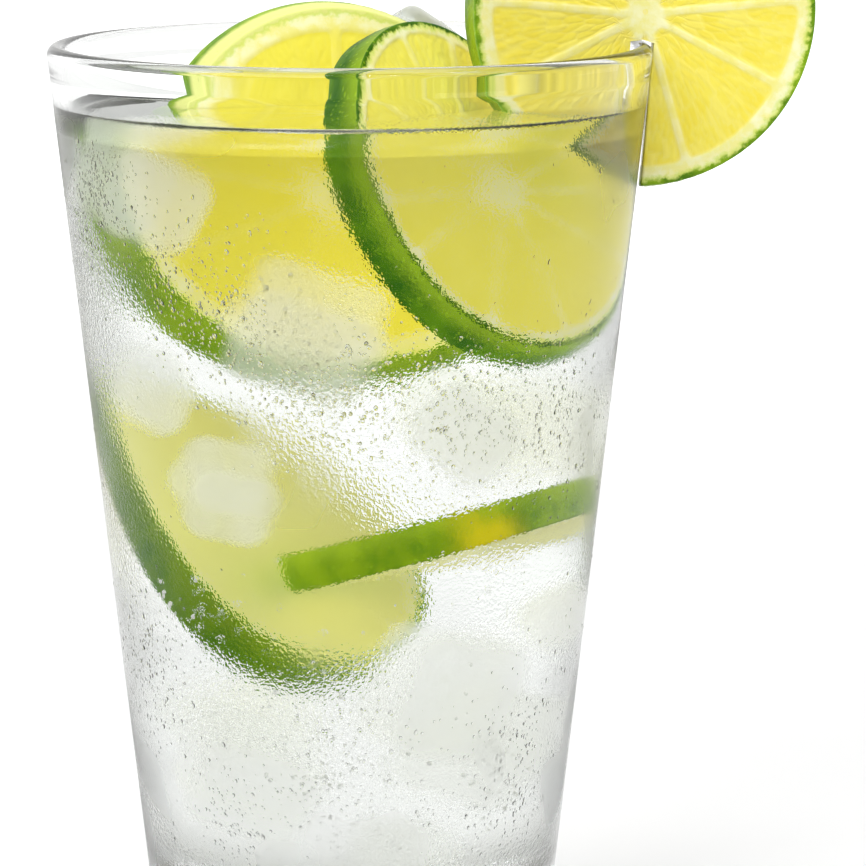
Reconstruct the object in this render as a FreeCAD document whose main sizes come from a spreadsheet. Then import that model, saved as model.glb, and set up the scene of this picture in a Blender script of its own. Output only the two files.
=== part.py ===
"""Tall glass of iced lemonade with lime slices.

Frame: millimetres, +Z up. The origin is the centre of the glass's flat foot. -Y is the front of the
glass, and +X is the side where the lime wheel sits on the rim.

Sub-parts: the glass, the drink up to its surface, the lime wheel slit over the rim, the two lime slices
that stand in the drink and break its surface, and the ice cube that floats behind them.
"""

import FreeCAD, Part

import os

import Sketcher

doc = FreeCAD.newDocument("LimeadeGlass")

# ---------------------------------------------------------------- driving dimensions
SIZES = [
    # glass: a straight cone with a rounded lip and a thick foot
    ("glass_height", 140.0),
    ("rim_radius", 43.0),
    ("base_radius", 27.2),
    ("wall_thick", 2.2),
    ("bead_radius", 1.4),
    ("bead_blend", 3.2),
    ("base_thick", 15.0),
    ("corner_rise", 7.0),
    ("floor_flat_radius", 8.0),
    ("corner_fillet", 16.0),
    ("floor_fillet", 30.0),
    ("foot_fillet", 2.0),
    # drink: its surface lies this far below the lip
    ("headroom", 9.5),
    # lime: every slice has the same rind, core and membranes
    ("peel_curve", 20.0),
    ("rind_thick", 2.9),
    ("core_radius", 3.0),
    ("membrane_thick", 1.0),
    ("pulp_depth", 0.4),
    # lime wheel on the rim
    ("wheel_radius", 24.7),
    ("wheel_slant", 0.5),
    ("wheel_thick", 5.0),
    ("wheel_azimuth_deg", 3.0),
    ("wheel_yaw_deg", 9.0),
    ("wheel_rise", 4.4),
    ("wheel_spin_deg", 12.0),
    ("slit_clearance", 0.25),
    ("seat_clearance", 0.25),
    # front slice: its rim reaches this far past the wheel's inner edge, its centre below the drink's surface
    ("front_radius", 24.5),
    ("front_slant", 0.4),
    ("front_thick", 5.8),
    ("front_reach", 25.1),
    ("front_depth", 8.0),
    ("front_sink", 9.2),
    ("front_yaw_deg", 57.0),
    ("front_lean_deg", 27.0),
    ("front_spin_deg", 28.0),
    # back slice: behind and left of the front one, measured from that slice's back
    ("back_radius", 24.8),
    ("back_slant", 2.0),
    ("back_thick", 6.0),
    ("back_gap_across", 14.466),
    ("back_gap_behind", 12.585),
    ("back_sink", 10.4),
    ("back_yaw_deg", 17.0),
    ("back_lean_deg", 15.0),
    ("back_spin_deg", 5.0),
    # flat ice cube that stands against the back slice and breaks the surface
    ("ice_edge", 17.0),
    ("ice_thick", 11.0),
    ("ice_fillet", 2.5),
    ("ice_gap", 0.3),
    ("ice_across", 16.0),
    ("ice_up", 15.5),
    ("ice_spin_deg", 52.0),
]
WHEEL_SEGMENTS = 9
FRONT_SEGMENTS = 10
BACK_SEGMENTS = 9

sheet = doc.addObject("Spreadsheet::Sheet", "Sizes")
for row, (alias, value) in enumerate(SIZES, start=1):
    sheet.set(f"A{row}", alias)
    sheet.set(f"B{row}", str(value))
    sheet.setAlias(f"B{row}", alias)
doc.recompute()


def cell(alias):
    """A sheet cell as it is written inside an expression."""
    return f"Sizes.{alias}"


# ---------------------------------------------------------------- sketch helpers
H_AXIS = -1
V_AXIS = -2
START, END, CENTRE = 1, 2, 3


def new_body(label):
    body = doc.addObject("PartDesign::Body", label)
    body.Label = label
    return body


def origin_plane(body, role):
    return next(item for item in body.Origin.OriginFeatures if item.Role == role)


def new_sketch(body, name, role):
    sketch = body.newObject("Sketcher::SketchObject", name)
    sketch.AttachmentSupport = [(origin_plane(body, role), "")]
    sketch.MapMode = "FlatFace"
    return sketch


def value(expression):
    """The number that an expression has now, to draw a sketch near its solved shape."""
    return 0.0 if expression is None else float(sheet.evalExpression(expression))


def drive(sketch, expression, kind, *where):
    """Adds a sized constraint and binds its size to the sheet."""
    index = sketch.addConstraint(Sketcher.Constraint(kind, *where, value(expression)))
    sketch.setExpression(f"Constraints[{index}]", expression)


def place_point(sketch, geometry, end, across, up):
    """Ties a point to the sketch's axes. None puts it on that axis."""
    if across is None:
        sketch.addConstraint(Sketcher.Constraint("PointOnObject", geometry, end, V_AXIS))
    else:
        drive(sketch, across, "DistanceX", H_AXIS, START, geometry, end)
    if up is None:
        sketch.addConstraint(Sketcher.Constraint("PointOnObject", geometry, end, H_AXIS))
    else:
        drive(sketch, up, "DistanceY", H_AXIS, START, geometry, end)


def closed_profile(sketch, points, arc_after=None):
    """Straight lines through the points, with one half-circle over the top after the given point."""
    ids = []
    for i, (across, up) in enumerate(points):
        next_across, next_up = points[(i + 1) % len(points)]
        start = FreeCAD.Vector(value(across), value(up), 0)
        finish = FreeCAD.Vector(value(next_across), value(next_up), 0)
        if i == arc_after:
            middle = (start + finish) / 2
            crown = middle + FreeCAD.Vector(0, start.sub(finish).Length / 2, 0)
            curve = Part.Arc(start, crown, finish)
        else:
            curve = Part.LineSegment(start, finish)
        ids.append(sketch.addGeometry(curve, False))
    for i, (across, up) in enumerate(points):
        sketch.addConstraint(Sketcher.Constraint("Coincident", ids[i - 1], END, ids[i], START))
        place_point(sketch, ids[i], START, across, up)
    if arc_after is not None:
        drive(sketch, points[arc_after][1], "DistanceY", H_AXIS, START, ids[arc_after], CENTRE)


def revolve(body, sketch, name):
    turned = body.newObject("PartDesign::Revolution", name)
    turned.Profile = sketch
    turned.ReferenceAxis = (sketch, ["V_Axis"])
    turned.Angle = 360.0
    doc.recompute()
    return turned


def ring_edge(shape, radius, height):
    """The name of the circular edge about Z with this radius and height."""
    def miss(edge):
        point = edge.Vertexes[0].Point
        return abs((point.x ** 2 + point.y ** 2) ** 0.5 - radius) + abs(point.z - height)

    closest = min(range(len(shape.Edges)), key=lambda i: miss(shape.Edges[i]))
    return f"Edge{closest + 1}"


def round_ring(body, base, name, radius_cell, across, up):
    """Rounds the circular edge that the profile's corner (across, up) sweeps out."""
    fillet = body.newObject("PartDesign::Fillet", name)
    fillet.Base = (base, [ring_edge(base.Shape, value(across), value(up))])
    fillet.setExpression("Radius", cell(radius_cell))
    doc.recompute()
    return fillet


# ---------------------------------------------------------------- glass
# Pressed clear glass: a cone that widens evenly from a thick foot to a fire-polished, slightly beaded lip.
LIP_HEIGHT = f"{cell('glass_height')} - {cell('bead_radius')}"
BLEND_HEIGHT = f"{LIP_HEIGHT} - {cell('bead_blend')}"
CORNER_HEIGHT = f"{cell('base_thick')} + {cell('corner_rise')}"
DRINK_HEIGHT = f"{cell('glass_height')} - {cell('headroom')}"


def outer_radius(height):
    spread = f"({cell('rim_radius')} - {cell('base_radius')})"
    return f"{cell('base_radius')} + {spread} * ({height}) / ({LIP_HEIGHT})"


def inner_radius(height):
    return f"{outer_radius(height)} - {cell('wall_thick')}"


LIP_INNER = f"{cell('rim_radius')} - 2 * {cell('bead_radius')}"
FLOOR_CENTRE = (None, cell("base_thick"))
FLOOR_EDGE = (cell("floor_flat_radius"), cell("base_thick"))
CORNER = (inner_radius(CORNER_HEIGHT), CORNER_HEIGHT)
FOOT_EDGE = (cell("base_radius"), None)

glass = new_body("glass")
glass_profile = new_sketch(glass, "glass_profile", "XZ_Plane")
closed_profile(
    glass_profile,
    [
        (None, None),
        FOOT_EDGE,
        (cell("rim_radius"), LIP_HEIGHT),
        (LIP_INNER, LIP_HEIGHT),
        (inner_radius(BLEND_HEIGHT), BLEND_HEIGHT),
        CORNER,
        FLOOR_EDGE,
        FLOOR_CENTRE,
    ],
    arc_after=2,
)
glass_turned = revolve(glass, glass_profile, "glass_revolution")
glass_foot = round_ring(glass, glass_turned, "glass_foot_fillet", "foot_fillet", *FOOT_EDGE)
glass_corner = round_ring(glass, glass_foot, "glass_corner_fillet", "corner_fillet", *CORNER)
glass_floor = round_ring(glass, glass_corner, "glass_floor_fillet", "floor_fillet", *FLOOR_EDGE)


# ---------------------------------------------------------------- lime slices
# A slice is a disc whose rim bulges like the fruit and slants where it wasn't cut from the fruit's middle.
# Its cut face is at local z = 0, facing +z, and the slice lies behind it. On both faces the pulp of each
# segment is a little lower than rind, membranes and core.
def lime_slice(label, name, segments):
    """A slice whose sizes are the cells name_radius, name_slant, name_thick and name_spin_deg."""
    body = new_body(label)
    thick = cell(f"{name}_thick")
    face_radius = cell(f"{name}_radius")
    back_radius = f"{face_radius} + {cell(f'{name}_slant')}"
    outline = new_sketch(body, f"{label}_profile", "XZ_Plane")
    top_centre = FreeCAD.Vector(0, 0, 0)
    top_edge = FreeCAD.Vector(value(face_radius), 0, 0)
    low_edge = FreeCAD.Vector(value(back_radius), -value(thick), 0)
    low_centre = FreeCAD.Vector(0, -value(thick), 0)
    chord = top_edge - low_edge
    curve = value(cell("peel_curve"))
    sagitta = curve - (curve ** 2 - (chord.Length / 2) ** 2) ** 0.5
    outward = FreeCAD.Vector(chord.y, -chord.x, 0).normalize()
    bulge = (top_edge + low_edge) / 2 + outward * sagitta
    top = outline.addGeometry(Part.LineSegment(top_centre, top_edge), False)
    peel = outline.addGeometry(Part.Arc(top_edge, bulge, low_edge), False)
    low = outline.addGeometry(Part.LineSegment(low_edge, low_centre), False)
    axis = outline.addGeometry(Part.LineSegment(low_centre, top_centre), False)
    outline.addConstraint(Sketcher.Constraint("Coincident", top, END, peel, END))
    outline.addConstraint(Sketcher.Constraint("Coincident", peel, START, low, START))
    outline.addConstraint(Sketcher.Constraint("Coincident", low, END, axis, START))
    outline.addConstraint(Sketcher.Constraint("Coincident", axis, END, top, START))
    outline.addConstraint(Sketcher.Constraint("Coincident", top, START, H_AXIS, START))
    outline.addConstraint(Sketcher.Constraint("Horizontal", top))
    outline.addConstraint(Sketcher.Constraint("Horizontal", low))
    outline.addConstraint(Sketcher.Constraint("Vertical", axis))
    drive(outline, thick, "DistanceY", axis, START, axis, END)
    drive(outline, face_radius, "DistanceX", top, START, top, END)
    drive(outline, back_radius, "DistanceX", low, END, low, START)
    drive(outline, cell("peel_curve"), "Radius", peel)
    solid = revolve(body, outline, f"{label}_disc")

    half_angle = f"{180.0 / segments}"
    sides = (("front", face_radius, "0", False), ("back", back_radius, f"-{thick}", True))
    for side, side_radius, height, reverse in sides:
        wedge = new_sketch(body, f"{label}_{side}_segment", "XY_Plane")
        wedge.setExpression(
            "AttachmentOffset",
            f"placement(vector(0; 0; {height}); rotation({cell(f'{name}_spin_deg')}; 0; 0))",
        )
        draw_segment(wedge, f"{side_radius} - {cell('rind_thick')}", half_angle)
        pocket = body.newObject("PartDesign::Pocket", f"{label}_{side}_pocket")
        pocket.Profile = wedge
        pocket.Reversed = reverse
        pocket.setExpression("Length", cell("pulp_depth"))
        doc.recompute()
        check_cut(solid, pocket)
        pattern = body.newObject("PartDesign::PolarPattern", f"{label}_{side}_segments")
        pattern.Originals = [pocket]
        pattern.Axis = (outline, ["V_Axis"])
        pattern.Angle = 360.0
        pattern.Occurrences = segments
        body.Tip = pattern
        doc.recompute()
        solid = pattern
    return body


def draw_segment(sketch, pulp_radius, half_angle):
    """One segment of pulp: a wedge between two membranes, from the core out to the rind."""
    inner = f"({cell('core_radius')} + {cell('membrane_thick')})"
    outer = f"({pulp_radius})"
    inner_half = f"({inner} * tan({half_angle}) - {cell('membrane_thick')} / 2)"
    outer_half = f"({outer} * sin({half_angle}) - {cell('membrane_thick')} / 2)"
    outer_across = f"sqrt({outer} ^ 2 - {outer_half} ^ 2)"
    corners = [
        FreeCAD.Vector(value(inner), -value(inner_half), 0),
        FreeCAD.Vector(value(outer_across), -value(outer_half), 0),
        FreeCAD.Vector(value(outer_across), value(outer_half), 0),
        FreeCAD.Vector(value(inner), value(inner_half), 0),
    ]
    crown = FreeCAD.Vector(value(outer), 0, 0)
    low = sketch.addGeometry(Part.LineSegment(corners[0], corners[1]), False)
    arc = sketch.addGeometry(Part.Arc(corners[1], crown, corners[2]), False)
    high = sketch.addGeometry(Part.LineSegment(corners[2], corners[3]), False)
    stub = sketch.addGeometry(Part.LineSegment(corners[3], corners[0]), False)
    sketch.addConstraint(Sketcher.Constraint("Coincident", low, END, arc, START))
    sketch.addConstraint(Sketcher.Constraint("Coincident", arc, END, high, START))
    sketch.addConstraint(Sketcher.Constraint("Coincident", high, END, stub, START))
    sketch.addConstraint(Sketcher.Constraint("Coincident", stub, END, low, START))
    sketch.addConstraint(Sketcher.Constraint("Coincident", arc, CENTRE, H_AXIS, START))
    sketch.addConstraint(Sketcher.Constraint("Vertical", stub))
    drive(sketch, outer, "Radius", arc)
    drive(sketch, inner, "DistanceX", H_AXIS, START, low, START)
    drive(sketch, inner_half, "DistanceY", H_AXIS, START, stub, START)
    drive(sketch, inner_half, "DistanceY", low, START, H_AXIS, START)
    drive(sketch, outer_half, "DistanceY", H_AXIS, START, high, START)
    drive(sketch, outer_half, "DistanceY", low, END, H_AXIS, START)


def check_cut(before, after):
    if not after.Shape.Volume < before.Shape.Volume:
        raise RuntimeError(f"{after.Name} cuts nothing")


def standing(across, behind, up, yaw, lean):
    """Stands a slice up, leans its face back by lean, turns it about Z by yaw and moves it."""
    return f"placement(vector({across}; {behind}; {up}); rotation({yaw}; 0; 90 - {lean}))"


SEAT_RADIUS = f"({cell('rim_radius')} - {cell('bead_radius')})"
HALF_WHEEL = f"{cell('wheel_thick')} / 2"
AZIMUTH = cell("wheel_azimuth_deg")
WHEEL_YAW = cell("wheel_yaw_deg")
WHEEL_X = f"({SEAT_RADIUS} * cos({AZIMUTH}) + {HALF_WHEEL} * sin({WHEEL_YAW}))"
WHEEL_Y = f"({SEAT_RADIUS} * sin({AZIMUTH}) - {HALF_WHEEL} * cos({WHEEL_YAW}))"
WHEEL_Z = f"({cell('glass_height')} + {cell('wheel_rise')})"
FRONT_X = f"({SEAT_RADIUS} - {cell('wheel_radius')} + {cell('front_reach')} - {cell('front_radius')})"
FRONT_Y = f"(-{cell('front_depth')})"
FRONT_Z = f"({DRINK_HEIGHT} - {cell('front_sink')})"
FRONT_DEEP = f"{cell('front_thick')} * cos({cell('front_lean_deg')})"
BACK_X = f"({FRONT_X} - {FRONT_DEEP} * sin({cell('front_yaw_deg')}) - {cell('back_gap_across')})"
BACK_Y = f"({FRONT_Y} + {FRONT_DEEP} * cos({cell('front_yaw_deg')}) + {cell('back_gap_behind')})"
BACK_Z = f"({DRINK_HEIGHT} - {cell('back_sink')})"

# The lime wheel is slit from its edge almost to its core, and the slit hangs over the lip of the glass.
wheel_disc = lime_slice("lime_wheel", "wheel", WHEEL_SEGMENTS)
wheel_place = standing(WHEEL_X, WHEEL_Y, WHEEL_Z, WHEEL_YAW, "0")
wheel_disc.setExpression("Placement", wheel_place)

front_slice = lime_slice("lime_slice_front", "front", FRONT_SEGMENTS)
front_place = standing(FRONT_X, FRONT_Y, FRONT_Z, cell("front_yaw_deg"), cell("front_lean_deg"))
front_slice.setExpression("Placement", front_place)

back_slice = lime_slice("lime_slice_back", "back", BACK_SEGMENTS)
back_place = standing(BACK_X, BACK_Y, BACK_Z, cell("back_yaw_deg"), cell("back_lean_deg"))
back_slice.setExpression("Placement", back_place)

# The slit is the shape of the lip and wall, with a clearance on both sides and above the lip.
SLIT_FOOT = f"({cell('glass_height')} - {cell('wheel_radius')} - {cell('wheel_rise')})"
SLIT_TOP = f"({cell('glass_height')} + {cell('seat_clearance')})"


def slit_cone(name, offset):
    cone = doc.addObject("Part::Cone", name)
    cone.setExpression("Radius1", f"{outer_radius(SLIT_FOOT)} + {offset}")
    cone.setExpression("Radius2", f"{cell('rim_radius')} + {offset}")
    cone.setExpression("Height", f"{SLIT_TOP} - {SLIT_FOOT}")
    cone.setExpression("Placement", f"placement(vector(0; 0; {SLIT_FOOT}); rotation(0; 0; 0))")
    return cone


slit_ring = doc.addObject("Part::Cut", "slit_ring")
slit_ring.Base = slit_cone("slit_outside", cell("slit_clearance"))
slit_ring.Tool = slit_cone("slit_inside", f"(-2 * {cell('bead_radius')} - {cell('slit_clearance')})")
lime_wheel_rim = doc.addObject("Part::Cut", "lime_wheel_rim")
lime_wheel_rim.Base = wheel_disc
lime_wheel_rim.Tool = slit_ring

# ---------------------------------------------------------------- ice
# A flat cube from a tray, its edges melted round. It stands on one corner against the back slice, and
# its top corner is out of the drink.
ice_block = doc.addObject("Part::Box", "ice_block")
ice_block.setExpression("Length", cell("ice_edge"))
ice_block.setExpression("Width", cell("ice_edge"))
ice_block.setExpression("Height", cell("ice_thick"))
doc.recompute()
ice_cube_top = doc.addObject("Part::Fillet", "ice_cube_top")
ice_cube_top.Base = ice_block
rounding = value(cell("ice_fillet"))
ice_cube_top.Edges = [(i + 1, rounding, rounding) for i in range(len(ice_block.Shape.Edges))]
ICE_BEHIND = f"-{cell('back_thick')} - {cell('ice_gap')} - {cell('ice_thick')}"
ICE_TURN = f"rotation({cell('ice_spin_deg')}; 0; 0)"
ICE_SPOT = f"placement(vector({cell('ice_across')}; {cell('ice_up')}; {ICE_BEHIND}); {ICE_TURN})"
ICE_CENTRING = f"placement(vector(-{cell('ice_edge')} / 2; -{cell('ice_edge')} / 2; 0); rotation(0; 0; 0))"
ice_cube_top.setExpression("Placement", f"{back_place} * {ICE_SPOT} * {ICE_CENTRING}")

# ---------------------------------------------------------------- drink
# Fills the glass to its surface and shares the glass's inner faces, cut round what stands in it.
drink_fill = new_body("drink_fill")
drink_profile = new_sketch(drink_fill, "drink_profile", "XZ_Plane")
closed_profile(
    drink_profile,
    [FLOOR_CENTRE, FLOOR_EDGE, CORNER, (inner_radius(DRINK_HEIGHT), DRINK_HEIGHT), (None, DRINK_HEIGHT)],
)
drink_turned = revolve(drink_fill, drink_profile, "drink_revolution")
drink_corner = round_ring(drink_fill, drink_turned, "drink_corner_fillet", "corner_fillet", *CORNER)
drink_floor = round_ring(drink_fill, drink_corner, "drink_floor_fillet", "floor_fillet", *FLOOR_EDGE)

garnish = doc.addObject("Part::MultiFuse", "garnish")
garnish.Shapes = [lime_wheel_rim, front_slice, back_slice, ice_cube_top]
drink = doc.addObject("Part::Cut", "drink")
drink.Base = drink_fill
drink.Tool = garnish

# ---------------------------------------------------------------- check and write
doc.recompute()
for item in doc.Objects:
    if {"Invalid", "Error"} & set(item.State):
        raise RuntimeError(f"{item.Name}: {item.State}")

SUB_PARTS = [glass, drink, lime_wheel_rim, front_slice, back_slice, ice_cube_top]
for piece in SUB_PARTS:
    if piece.Shape.isNull() or not piece.Shape.isValid():
        raise RuntimeError(f"{piece.Label}: no valid shape")

os.makedirs("parts", exist_ok=True)
for piece in SUB_PARTS:
    piece.Shape.exportStep(f"parts/{piece.Label}.step")
    print(piece.Label, len(piece.Shape.Solids), "solid,", round(piece.Shape.Volume / 1000, 2), "cm3")
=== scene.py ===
"""Looks of a tall glass of iced lemonade with limes, built around its construction frame.

Metres, +Z up. The glass's foot is centred on the origin, -Y is its front, and +X is the side where the
lime wheel sits on the rim. Sizes are written in millimetres and multiplied by MM.
"""

import math

import bmesh
import bpy
import numpy as np
from mathutils import Matrix, Vector


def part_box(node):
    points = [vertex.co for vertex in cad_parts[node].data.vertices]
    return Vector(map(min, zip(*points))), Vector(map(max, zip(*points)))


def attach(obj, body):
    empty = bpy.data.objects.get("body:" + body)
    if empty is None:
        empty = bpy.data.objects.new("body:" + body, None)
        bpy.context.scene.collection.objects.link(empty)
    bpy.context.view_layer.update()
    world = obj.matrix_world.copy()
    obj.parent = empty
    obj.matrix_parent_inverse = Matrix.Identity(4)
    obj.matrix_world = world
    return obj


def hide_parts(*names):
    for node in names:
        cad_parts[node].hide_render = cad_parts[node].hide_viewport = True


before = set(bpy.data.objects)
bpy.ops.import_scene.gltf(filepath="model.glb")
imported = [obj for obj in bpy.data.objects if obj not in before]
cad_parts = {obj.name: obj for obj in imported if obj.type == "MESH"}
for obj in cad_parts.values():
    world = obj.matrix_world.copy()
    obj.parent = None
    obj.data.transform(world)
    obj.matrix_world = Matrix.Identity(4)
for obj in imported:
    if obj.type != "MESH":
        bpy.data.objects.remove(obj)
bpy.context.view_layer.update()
MM = 0.001

# ---------------------------------------------------------------- table, light and camera
# A pale seamless table top that is lit from below towards a white studio wall. The room and the table
# are dimmer on the viewer's side, where broad soft boxes light the fruit from above, and a small one gives
# the wet flesh and the lip their glints.
FLOOR_HALF = 9.0
DIM_UP_TO = -0.35
WHITE_FROM = 0.0
GLOW_FROM = 0.2
GLOW_FULL = 1.3
FLOOR_WHITE = (0.88, 0.88, 0.88, 1.0)
FLOOR_SHADE = (0.36, 0.36, 0.36, 1.0)
GLOW_NEAR = (0.02, 0.02, 0.02, 1.0)
GLOW_FAR = (0.8, 0.8, 0.8, 1.0)
ROOM_LIGHT = 1.0
ROOM_DIM = 0.2
# place, width, height and power of each soft box
SOFT_BOXES = {
    "soft_box_key": ((-0.5, -0.8, 0.7), 0.8, 0.6, 7.1),
    "soft_box_fill": ((0.75, -0.65, 0.55), 0.6, 0.6, 2.6),
    "soft_box_top": ((0.0, -0.15, 1.1), 0.8, 0.8, 5.0),
    "soft_box_small": ((0.25, -0.9, 0.85), 0.22, 0.1, 1.5),
}
LIGHTS_AIM = Vector((0, 0, 0.12))
EYE = (11.8 * MM, -720.0 * MM, 199.8 * MM)
EYE_DOWN_DEG = 9.15
# focal length and sensor width, in mm
LENS = 210.8
SENSOR = 36.0
# how often light may turn, by kind: clear glass, drink and ice lie behind each other
BOUNCES = {
    "max_bounces": 14,
    "transmission_bounces": 14,
    "diffuse_bounces": 3,
    "glossy_bounces": 8,
    "transparent_max_bounces": 16,
}
BLACK = (0, 0, 0, 1)
WHITE = (1, 1, 1, 1)


def add_object(name, data):
    piece = bpy.data.objects.new(name, data)
    bpy.context.scene.collection.objects.link(piece)
    return piece


def new_material(name):
    """A material, its node tree and its Principled shader. What glows faintly isn't sampled as a lamp."""
    material = bpy.data.materials.new(name)
    material.use_nodes = True
    material.cycles.emission_sampling = "NONE"
    return material, material.node_tree, material.node_tree.nodes["Principled BSDF"]


def put(tree, kind, inputs=None, **settings):
    """Adds a node. An input is a number, a colour or another node's output socket."""
    node = tree.nodes.new(kind)
    for key, setting in settings.items():
        setattr(node, key, setting)
    for key, source in (inputs or {}).items():
        if isinstance(source, bpy.types.NodeSocket):
            tree.links.new(source, node.inputs[key])
        else:
            node.inputs[key].default_value = source
    return node


def remap(tree, source, low, high, to_low=0.0, to_high=1.0):
    """Turns the span from low to high into to_low to to_high, with soft ends."""
    inputs = {"Value": source, "From Min": low, "From Max": high, "To Min": to_low, "To Max": to_high}
    return put(tree, "ShaderNodeMapRange", inputs, interpolation_type="SMOOTHSTEP").outputs["Result"]


def mix(tree, factor, first, second):
    inputs = {"Factor": factor, 6: first, 7: second}
    return put(tree, "ShaderNodeMix", inputs, data_type="RGBA").outputs[2]


def own_place(tree):
    """Where a point of the piece lies, in metres from the origin."""
    return put(tree, "ShaderNodeTexCoord").outputs["Object"]


floor_mesh = bpy.data.meshes.new("table_top")
floor_corners = [(x * FLOOR_HALF, y * FLOOR_HALF, 0.0) for x, y in ((-1, -1), (1, -1), (1, 1), (-1, 1))]
floor_mesh.from_pydata(floor_corners, [], [(0, 1, 2, 3)])
floor = add_object("table_top", floor_mesh)
floor_material, floor_tree, floor_shader = new_material("table_white")
floor_ways = put(floor_tree, "ShaderNodeSeparateXYZ", {0: own_place(floor_tree)})
floor_back = remap(floor_tree, floor_ways.outputs["Y"], DIM_UP_TO, WHITE_FROM)
floor_colour = mix(floor_tree, floor_back, FLOOR_SHADE, FLOOR_WHITE)
floor_far = remap(floor_tree, floor_ways.outputs["Y"], GLOW_FROM, GLOW_FULL)
floor_glow = mix(floor_tree, floor_back, BLACK, mix(floor_tree, floor_far, GLOW_NEAR, GLOW_FAR))
floor_tree.links.new(floor_colour, floor_shader.inputs["Base Color"])
floor_tree.links.new(floor_glow, floor_shader.inputs["Emission Color"])
floor_shader.inputs["Emission Strength"].default_value = 1.0
floor_shader.inputs["Roughness"].default_value = 0.9
floor.data.materials.append(floor_material)
floor.visible_glossy = False

world = bpy.data.worlds.new("studio")
bpy.context.scene.world = world
world.use_nodes = True
room = world.node_tree
room_ways = put(room, "ShaderNodeSeparateXYZ", {0: put(room, "ShaderNodeTexCoord").outputs["Generated"]})
room_share = remap(room, room_ways.outputs["Y"], -0.25, 0.3, ROOM_DIM, 1.0)
room_light = mix(room, room_share, BLACK, WHITE)
room.links.new(room_light, room.nodes["Background"].inputs["Color"])
room.nodes["Background"].inputs["Strength"].default_value = ROOM_LIGHT


def soft_box(name, place, width, height, power):
    light = bpy.data.lights.new(name, "AREA")
    light.shape = "RECTANGLE"
    light.size = width
    light.size_y = height
    light.energy = power
    lamp = add_object(name, light)
    lamp.location = place
    aim = LIGHTS_AIM - Vector(place)
    lamp.rotation_euler = aim.to_track_quat("-Z", "Y").to_euler()
    lamp.visible_camera = False


for name, (place, width, height, power) in SOFT_BOXES.items():
    soft_box(name, place, width, height, power)

camera = bpy.data.cameras.new("camera")
camera.lens = LENS
camera.sensor_width = SENSOR
camera.clip_start = 0.01
camera.clip_end = 100.0
eye = add_object("camera", camera)
eye.location = EYE
eye.rotation_euler = (math.radians(90 - EYE_DOWN_DEG), 0, 0)
bpy.context.scene.camera = eye
bpy.context.scene.view_settings.view_transform = "Standard"
for kind, most in BOUNCES.items():
    setattr(bpy.context.scene.cycles, kind, most)

# ---------------------------------------------------------------- glass
# A pressed highball of clear soda glass: a thick foot, a straight wall that widens evenly, and a lip
# rounded in the flame. Cold lemonade has misted it outside from near the foot to the drink's level.
glass_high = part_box("glass")[1]
GLASS_HEIGHT = glass_high.z
RIM_RADIUS = glass_high.x
BASE_RADIUS = 27.2 * MM
WALL = 2.2 * MM
LIP = 1.4 * MM
LIP_BLEND = 3.2 * MM
FLOOR_THICK = 15.0 * MM
CORNER_RISE = 7.0 * MM
FLOOR_FLAT = 8.0 * MM
CORNER_ROUND = 16.0 * MM
FLOOR_ROUND = 30.0 * MM
FOOT_ROUND = 2.0 * MM
LATHE_STEPS = 288
LATHE_REACH = 4.0 * MM
MIST_FOOT = 6.0 * MM
MIST_SCALE = 55.0
GRAIN_SCALE = 1900.0
GRAIN_PATCH_SCALE = 38.0
# middles of the places where the mist has run off, in mm, and how far each reaches
CLEAR_SPOTS = ((22, -36, 112), (-30, -27, 106), (16, -30, 70), (-27, -18, 62))
CLEAR_NEAR = 10.0 * MM
CLEAR_FAR = 28.0 * MM
GLASS_TINT = (0.985, 0.995, 0.985, 1.0)
GLASS_IOR = 1.5
GLASS_SHINE = 0.5
WET_GLASS_SHINE = 0.08


def wall_outside(height):
    return BASE_RADIUS + (RIM_RADIUS - BASE_RADIUS) * height / (GLASS_HEIGHT - LIP)


def wall_inside(height):
    return wall_outside(height) - WALL


def rounded_path(corners, steps=10):
    """Points along straight runs, where each corner (radius, height, rounding) is an arc."""
    path = []
    for i, (across, up, rounding) in enumerate(corners):
        here = Vector((across, up))
        if not rounding:
            path.append(here)
            continue
        back = (Vector(corners[i - 1][:2]) - here).normalized()
        ahead = (Vector(corners[i + 1][:2]) - here).normalized()
        half = back.angle(ahead) / 2
        middle = here + (back + ahead).normalized() * rounding / math.sin(half)
        start = here + back * rounding / math.tan(half) - middle
        swing = start.angle_signed(here + ahead * rounding / math.tan(half) - middle)
        for k in range(steps + 1):
            turn = -swing * k / steps
            turned = (start.x * math.cos(turn) - start.y * math.sin(turn),
                      start.x * math.sin(turn) + start.y * math.cos(turn))
            path.append(middle + Vector(turned))
    return path


def spread(path, longest):
    """The same path with extra points, so that no run is longer than this."""
    dense = []
    for here, after in zip(path, path[1:]):
        parts = max(1, math.ceil((after - here).length / longest))
        dense += [here.lerp(after, k / parts) for k in range(parts)]
    return dense + [path[-1]]


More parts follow.
